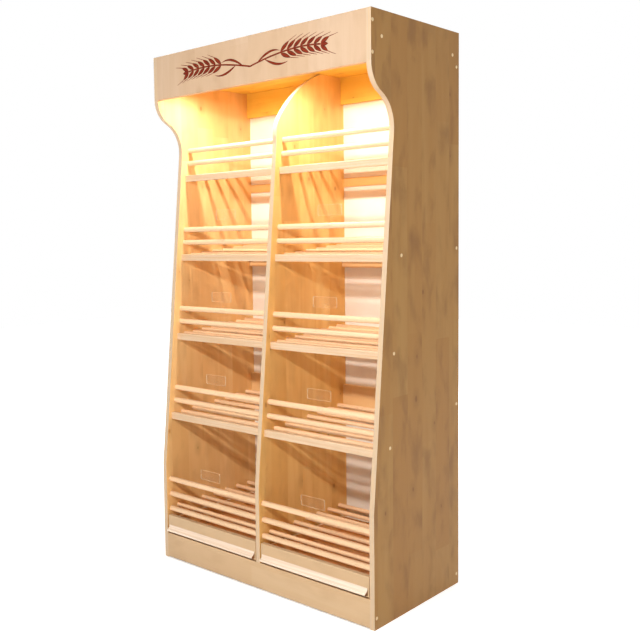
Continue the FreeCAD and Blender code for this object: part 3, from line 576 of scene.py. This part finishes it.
# turned beech, sanded and lacquered once: a smooth warm stick with dark ray flecks
guard_beech = solid_wood("turned_beech_guard", "f2d0a9", "e6bd92", "b98a5e", BEECH_GROWTH, 0.35, 0.42)
rod_beech = solid_wood("turned_beech_rod", "fad6a9", "ecc094", "b98758", BEECH_GROWTH, 0.35, 0.45)
for level in LEVELS:
    low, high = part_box(f"guard_dowels_{level}")
    lines = even_lines(low, high, GUARD_COUNTS[level], GUARD_RADIUS, GUARD_RADIUS)
    guards = sticks(f"beech_guards_{level}", (low.x, high.x), lines, GUARD_RADIUS)
    finish_piece(guards, "rack", "dowel", guard_beech, f"guard_dowels_{level}")
    for bay in BAYS:
        low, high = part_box(f"shelf_rods_{level}_{bay}")
        lines = even_lines(low, high, ROD_COUNTS[level], ROD_REACH, ROD_RADIUS)
        rods = sticks(f"beech_rods_{level}_{bay}", (low.x, high.x), lines, ROD_RADIUS)
        finish_piece(rods, "rack", "dowel", rod_beech, f"shelf_rods_{level}_{bay}")

# ---------------------------------------------------------------- drawers
# Each crumb drawer is a plain box of laminate strips on a hardboard floor, behind a front board
# with a full-width grip. The grip is a moulding of pale lacquered wood: a cove and a round nose.

GRIP_NOSE, GRIP_LAND = 0.005, 0.001         # the nose's radius, and the flat above the cove
GRIP_GROWTH = 0.004                         # real growth lines lie 2 mm apart, too fine to show
FLOOR_GRAIN, FLOOR_RELIEF = 0.002, 0.00006  # real fibres are 0.1 mm, too fine to show


def grip_profile(reach, tall):
    """Outline (depth, height) of the moulding: flat back, narrow land, cove, round nose, flat underside.

    The nose is a circle of radius n about (n - reach, n). The cove is the circle about
    (-land - c, tall) that touches it, so c follows from the distance of the two centres, c + n.
    """
    tip = np.array([GRIP_NOSE - reach, GRIP_NOSE])
    rise = tall - GRIP_NOSE
    cove = ((tip[0] + GRIP_LAND) ** 2 + rise ** 2 - GRIP_NOSE ** 2) / (2 * (GRIP_NOSE - tip[0] - GRIP_LAND))
    centre = np.array([-GRIP_LAND - cove, tall])
    down = math.atan2(*(tip - centre)[::-1])
    bend = np.linspace(0, down, 18)
    upper = centre + cove * np.stack([np.cos(bend), np.sin(bend)], -1)
    turn = np.linspace(down + math.pi, 1.5 * math.pi, 16)
    lower = tip + GRIP_NOSE * np.stack([np.cos(turn), np.sin(turn)], -1)
    return np.vstack([[(0, 0), (0, tall)], upper, lower[1:]])


# machined lime under clear lacquer: smooth and pale; its end faces are dark brown, partly end grain and
# partly painted shade
grip_wood, tree, shader = new_material("lacquered_lime_grip", Roughness=0.36)
lines = add(tree, "TexNoise", inputs={
    "Vector": cells(tree, (GROWTH_LENGTH, GRIP_GROWTH, GRIP_GROWTH)),
    "Scale": 1.0, "Detail": 3.0}).outputs[0]
# painted shade: the faces that look along X, the ends, go dark brown
facing = add(tree, "SeparateXYZ", inputs={0: add(tree, "TexCoord").outputs["Normal"]}).outputs[0]
painted_shade_ends = add(tree, "Math", {"operation": "ABSOLUTE"}, {0: facing}).outputs[0]
colour = stain(tree, linear("f3dfca"), linear("e6cbb0"), lines, (0.3, 0.7))
coat(tree, shader, stain(tree, colour, linear("8d6240"), painted_shade_ends, (0.6, 0.9)), lines, GRAIN_RELIEF)

# satin print, deepened to orange-brown as painted warm reflected light inside the drawer, with pale upper
# edges as a painted highlight
drawer_box_warm_light_laminate = laminate("melamine_drawer_box_warm_light", "X", "f0c082", "e2aa66", "a8743c", upper="f8e6c8")
# oiled hardboard: an even matt brown, a little furry
floor_sheet = speckled("brown_drawer_floor", "e6ad74", "d49b63", FLOOR_GRAIN, FLOOR_RELIEF, Roughness=0.5)
for bay in BAYS:
    body = f"drawer_{bay}"
    low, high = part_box(body + "_grip")
    outline = grip_profile(high.y - low.y, high.z - low.z)
    x = np.linspace(low.x, high.x, 9)[:, None]
    points = at_each([(0, high.y, low.z)], x, outline[:, 0], outline[:, 1])
    grip = surface(f"grip_moulding_{bay}", points, around=True, caps=True)
    finish_piece(grip, body, "grip", grip_wood, body + "_grip")
    dress(soften(body + "_front"), front_laminate)
    dress(soften(body + "_sides", FINE_RADIUS), drawer_box_warm_light_laminate)
    dress(soften(body + "_back", FINE_RADIUS), drawer_box_warm_light_laminate)
    dress(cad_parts[body + "_floor"], floor_sheet)
    dress(soften(f"runners_{bay}", FINE_RADIUS), rod_beech)

# ---------------------------------------------------------------- price holders
# Clear pockets of bent PVC sheet for price cards are hooked over the upper guard dowel of each
# shelf. The sheet hardly shows; its cut edges are beads of pale amber, a painted highlight of the
# light that they catch.

SHEET = 0.0010                              # thickness
POCKET_WIDTH, POCKET_HEIGHT, POCKET_CORNER = 0.100, 0.036, 0.005
POCKET_DEPTH, POCKET_GAP = 2.2 * SHEET, 0.0020      # two walls and a card; from the hook to its middle
RIM_RADIUS, RIM_STRETCH = 0.0007, 1.6       # of the bright edge, which is deeper than it is wide
HOOK_WIDTH, HOOK_RADIUS, HOOK_TOP, HOOK_END = 0.030, 0.0109, 0.050, math.radians(-35)
SHEET_HAZE, RIM_HAZE = 0.0333, 0.0125


def rounded_outline(wide, tall, corner, count=48):
    """Closed outline of a rectangle with round corners.

    The point at angle t is the centre of the corner that it lies nearest to plus corner * (cos t, sin t).
    """
    t = (np.arange(count) + 0.5) * 2 * np.pi / count
    way = np.stack([np.cos(t), np.sin(t)], -1)
    return np.sign(way) * np.array([wide / 2 - corner, tall / 2 - corner]) + corner * way


def thicken(piece, thickness):
    """Give a sheet its thickness, half to each side."""
    solidify = piece.modifiers.new("thickness", "SOLIDIFY")
    solidify.thickness, solidify.offset = thickness, 0.0


# calendered PVC sheet, so clear and thin that it is a breath of haze; its rims are painted pale
# amber, a painted highlight of the light that they gather
clear_sheet = speckled("clear_pvc_sheet", "ffffff", "fbf6ee", SHEET_HAZE,
                       Roughness=0.12, Specular_IOR_Level=0.0, Alpha=0.008)
rim_painted_highlight = speckled("pvc_edge_painted_highlight", "fbe6c4", "f0cf9f", RIM_HAZE, Roughness=0.3, Alpha=0.75)
for level in LEVELS[:-1]:
    low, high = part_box(f"price_holders_{level}")
    guard_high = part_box(f"guard_dowels_{level}")[1]
    axle_y, axle_z = guard_high.y - GUARD_RADIUS, guard_high.z - GUARD_RADIUS
    half = (high.x - low.x - POCKET_WIDTH) / 2
    centres_x = [(low.x + high.x) / 2 - half, (low.x + high.x) / 2 + half]
    pockets = [(x, axle_y - HOOK_RADIUS - POCKET_GAP, high.z - POCKET_HEIGHT / 2) for x in centres_x]
    # pocket: a pane whose rings shrink to its middle
    outline = rounded_outline(POCKET_WIDTH, POCKET_HEIGHT, POCKET_CORNER)
    share = np.array([[1.0], [0.5], [0.0]])
    pane = at_each(pockets, share * outline[:, 0], 0.0, share * outline[:, 1])
    pocket = surface(f"price_pocket_{level}", pane, around=True)
    thicken(pocket, POCKET_DEPTH)
    finish_piece(pocket, "rack", "clear_plastic", clear_sheet, f"price_holders_{level}")
    # rim: a fine bead carried along the closed outline, coloured as a painted highlight
    closed = np.vstack([outline, outline[:1]])
    outwards = closed / np.linalg.norm(closed, axis=1, keepdims=True)
    turn = np.linspace(0, 2 * np.pi, 8, endpoint=False)
    bead = closed[:, :, None] + RIM_RADIUS * outwards[:, :, None] * np.cos(turn)
    rim = at_each(pockets, bead[:, 0], RIM_RADIUS * RIM_STRETCH * np.sin(turn), bead[:, 1])
    finish_piece(surface(f"price_rim_{level}", rim, around=True), "rack", "clear_plastic", rim_painted_highlight)
    # hook: down from the pocket, and over the dowel to the underside of its back
    bend = np.linspace(math.pi, HOOK_END, 20)
    path = np.vstack([[(-HOOK_RADIUS, HOOK_TOP)],
                      HOOK_RADIUS * np.stack([np.cos(bend), np.sin(bend)], -1)])
    axles = [(x, axle_y, axle_z) for x in centres_x]
    strap = at_each(axles, np.array([-HOOK_WIDTH, HOOK_WIDTH]) / 2, path[:, :1], path[:, 1:])
    hook = surface(f"price_hook_{level}", strap)
    thicken(hook, SHEET)
    finish_piece(hook, "rack", "clear_plastic", clear_sheet)

# ---------------------------------------------------------------- lamp
# A batten lamp under the ceiling, behind the header: a folded tray of white enamelled steel with
# a domed lens of opal acrylic, which glows warm when the tube is on.

TRAY_PEEL, TRAY_RELIEF = 0.00286, 0.00005   # of the enamel's waves: their size and their depth
LENS_FROST = 0.025                          # size of the clouds in the acrylic
LAMP_COLOUR, LENS_GLOW = "fffaf2", 1.3
END_INSETS, END_DEPTHS = np.array([0, 0, 0.004, 0.012]), np.array([0, 0.80, 0.94, 1])


def lens_points(low, high):
    """Points of the domed lens.

    At x and swing a, a point is bend * sin a across and hangs bend * cos a below the arc's centre.
    The section shrinks towards both ends: its depth fully, and its width to 0.6.
    """
    half_width, deep = (high.y - low.y) / 2, high.z - low.z
    bend = (half_width ** 2 + deep ** 2) / (2 * deep)
    swing = np.linspace(-1, 1, 21) * math.asin(half_width / bend)
    inner = np.linspace(low.x, high.x, 8)[1:-1]
    x = np.concatenate([low.x + END_INSETS, inner, (high.x - END_INSETS)[::-1]])[:, None]
    full = np.concatenate([END_DEPTHS, np.ones(len(inner)), END_DEPTHS[::-1]])[:, None]
    depth = np.maximum(bend * np.cos(swing) - (bend - deep), 0)
    across = bend * np.sin(swing) * np.minimum(1, 0.6 + 0.4 * full)
    return np.stack(np.broadcast_arrays(x, (low.y + high.y) / 2 + across, high.z - depth * full), -1)


# stove enamel on steel: glossy white with a slight orange peel
tray_enamel = speckled("white_enamelled_steel", "f2f0ea", "e9e6de", TRAY_PEEL, TRAY_RELIEF, Roughness=0.3)
dress(soften("lamp_tray"), tray_enamel)

lens_low, lens_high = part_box("lamp_lens")
lens = surface("opal_lens", lens_points(lens_low, lens_high))
# moulded opal acrylic: a soft even glow with no tube to be seen in it
opal, tree, shader = new_material("opal_acrylic_lens", Roughness=0.35, Emission_Strength=LENS_GLOW)
frost = add(tree, "TexNoise", inputs={"Vector": cells(tree, LENS_FROST), "Scale": 1.0}).outputs[0]
for socket, first, second in (("Base Color", "fff3dc", "ffecc9"), ("Emission Color", LAMP_COLOUR, "fff0dc")):
    mingled = add(tree, "Mix", {"data_type": "RGBA"}, {0: frost, 6: linear(first), 7: linear(second)})
    tree.links.new(mingled.outputs[2], shader.inputs[socket])
finish_piece(lens, "rack", "lamp_lens", opal, "lamp_lens")

# ---------------------------------------------------------------- studio
# Plain pale floor and background. A long strip lamp in front throws the lips' shadows into the
# bays, large soft lamps light the front, the sides, the back and the top, and a warm light just
# under the lens does the work of the rack's own tube.

WORLD_LIGHT = 0.12
TUBE_LENGTH, TUBE_WIDTH, TUBE_GAP, TUBE_WATTS = 0.78, 0.02, 0.004, 7.9
FLOOR_REACH, FLOOR_PATCH = 9, 0.5           # half the floor's width, and the size of its faint patches
LIFT_START, LIFT_END, NEAR_LIFT = 0.5, 3.0, 0.5     # distances from the middle; the glow at the first
RACK_MARGIN = 0.03                          # in from the rack's sides, where the glow begins


def area_lamp(name, place, target, watts, size, size_y=None, colour="ffffff"):
    """Area lamp at a place, facing a target: round, or a rectangle where it has a second size."""
    data = bpy.data.lights.new(name, "AREA")
    data.shape, data.size, data.energy = "RECTANGLE" if size_y else "DISK", size, watts
    data.size_y = size_y or size
    data.color = linear(colour)[:3]
    holder = bpy.data.objects.new(name, data)
    holder.location = place
    holder.rotation_euler = (Vector(target) - Vector(place)).to_track_quat("-Z", "Y").to_euler()
    holder.visible_camera = False
    bpy.context.scene.collection.objects.link(holder)


area_lamp("key", (0.75, -2.25, 1.95), (0.75, 0, 0.8), 61.0, 2.4, 0.10)
area_lamp("low_front", (0.9, -3.4, 0.7), (0, 0, 0.7), 14.0, 1.6)
area_lamp("left_front", (-2.6, -3.2, 1.6), (0, 0, 1.0), 5.0, 2.4)
area_lamp("right_side", (3.4, 0.9, 1.5), (0.5, 0, 1.0), 30.0, 1.8)
area_lamp("left_side", (-3.4, 0.9, 1.5), (-0.5, 0, 1.0), 48.0, 1.8)
area_lamp("back", (-1.2, 3.8, 2.0), (0, 0.3, 1.0), 55.0, 2.2)
area_lamp("overhead", (0.3, 0.2, 4.4), (0, 0, 1.9), 30.0, 1.6)
lens_middle = (lens_low.y + lens_high.y) / 2
area_lamp("canopy_glow", (0, lens_middle, lens_low.z - TUBE_GAP), (0, lens_middle, 0), TUBE_WATTS,
          TUBE_LENGTH, TUBE_WIDTH, LAMP_COLOUR)


def seen_directly(tree):
    """1 for rays from the camera and for reflected or transmitted ones, and 0 for light on surfaces."""
    path = add(tree, "LightPath")
    first = add(tree, "Math", {"operation": "MAXIMUM"},
                {0: path.outputs["Is Camera Ray"], 1: path.outputs["Is Glossy Ray"]}).outputs[0]
    return add(tree, "Math", {"operation": "MAXIMUM"},
               {0: first, 1: path.outputs["Is Transmission Ray"]}).outputs[0]


world = bpy.data.worlds.new("studio")
bpy.context.scene.world = world
world.use_nodes = True
tree = world.node_tree
tree.nodes.clear()
strength = add(tree, "MapRange", inputs={0: seen_directly(tree), 3: WORLD_LIGHT, 4: 1.0}).outputs[0]
background = add(tree, "Background", inputs={"Color": linear("ffffff"), "Strength": strength})
add(tree, "OutputWorld", inputs={"Surface": background.outputs[0]})

# matt floor paint, which fades into the white background: a glow grows with the distance, but there
# is none under the rack, where the floor shows through the grates once a drawer is out
edge = np.linspace(-FLOOR_REACH, FLOOR_REACH, 3)
floor_points = np.stack(np.broadcast_arrays(edge[:, None], edge, 0.0), -1)
floor = surface("floor", floor_points)
floor_paint, tree, shader = new_material("pale_floor", Roughness=0.9, Emission_Color=(1, 1, 1, 1))
patch = add(tree, "TexNoise", inputs={"Vector": cells(tree, FLOOR_PATCH), "Scale": 1.0}).outputs[0]
tone = add(tree, "Mix", {"data_type": "RGBA"}, {0: patch, 6: linear("f6f6f5"), 7: linear("f3f3f2")})
coat(tree, shader, tone.outputs[2])
place = add(tree, "TexCoord").outputs["Object"]
away = add(tree, "VectorMath", {"operation": "LENGTH"}, {0: place}).outputs["Value"]
fade = add(tree, "MapRange", {"interpolation_type": "SMOOTHSTEP"},
           {0: away, 1: LIFT_START, 2: LIFT_END, 3: NEAR_LIFT, 4: 1.0}).outputs[0]
glow = add(tree, "Math", {"operation": "MULTIPLY"}, {0: seen_directly(tree), 1: fade}).outputs[0]
middle = [(low + high) / 2 for low, high in zip(*size_at_load)]
from_middle = add(tree, "VectorMath", {"operation": "SUBTRACT"}, {0: place, 1: middle}).outputs[0]
reach = add(tree, "VectorMath", {"operation": "ABSOLUTE"}, {0: from_middle}).outputs[0]
sides = add(tree, "SeparateXYZ", inputs={0: reach})
past = [add(tree, "Math", {"operation": "SUBTRACT"}, {
    0: sides.outputs[i], 1: (size_at_load[1][i] - size_at_load[0][i]) / 2}).outputs[0] for i in (0, 1)]
outside = add(tree, "Math", {"operation": "MAXIMUM"}, {0: past[0], 1: past[1]}).outputs[0]
beyond = add(tree, "MapRange", {"interpolation_type": "SMOOTHSTEP"},
             {0: outside, 1: -RACK_MARGIN, 2: 0.0}).outputs[0]
lift = add(tree, "Math", {"operation": "MULTIPLY"}, {0: glow, 1: beyond}).outputs[0]
tree.links.new(lift, shader.inputs["Emission Strength"])
dress(floor, floor_paint)

# The camera stands at the height of the third shelf and looks a little down, to the left.
CAMERA_PLACE = (2.0510, -2.4901, 1.2613)
TURN, TILT, ROLL = (math.radians(a) for a in (44.26, 4.23, -1.06))
IMAGE, FOCAL, AXIS, SENSOR = 640, 868.07, (228.0, 301.5), 36    # pixels, pixels, pixels and millimetres
forward = Vector((-math.sin(TURN) * math.cos(TILT), math.cos(TURN) * math.cos(TILT), -math.sin(TILT)))
level_right = Vector((math.cos(TURN), math.sin(TURN), 0))
level_up = level_right.cross(forward)
right = level_right * math.cos(ROLL) + level_up * math.sin(ROLL)
up = level_up * math.cos(ROLL) - level_right * math.sin(ROLL)
camera = bpy.data.objects.new("camera", bpy.data.cameras.new("camera"))
camera.data.sensor_width, camera.data.lens = SENSOR, FOCAL / IMAGE * SENSOR
camera.data.shift_x, camera.data.shift_y = (IMAGE / 2 - AXIS[0]) / IMAGE, (AXIS[1] - IMAGE / 2) / IMAGE
camera.matrix_world = Matrix.Translation(CAMERA_PLACE) @ Matrix((right, up, -forward)).transposed().to_4x4()
bpy.context.scene.collection.objects.link(camera)
bpy.context.scene.camera = camera
bpy.context.scene.view_settings.view_transform = "Standard"

bpy.context.view_layer.update()
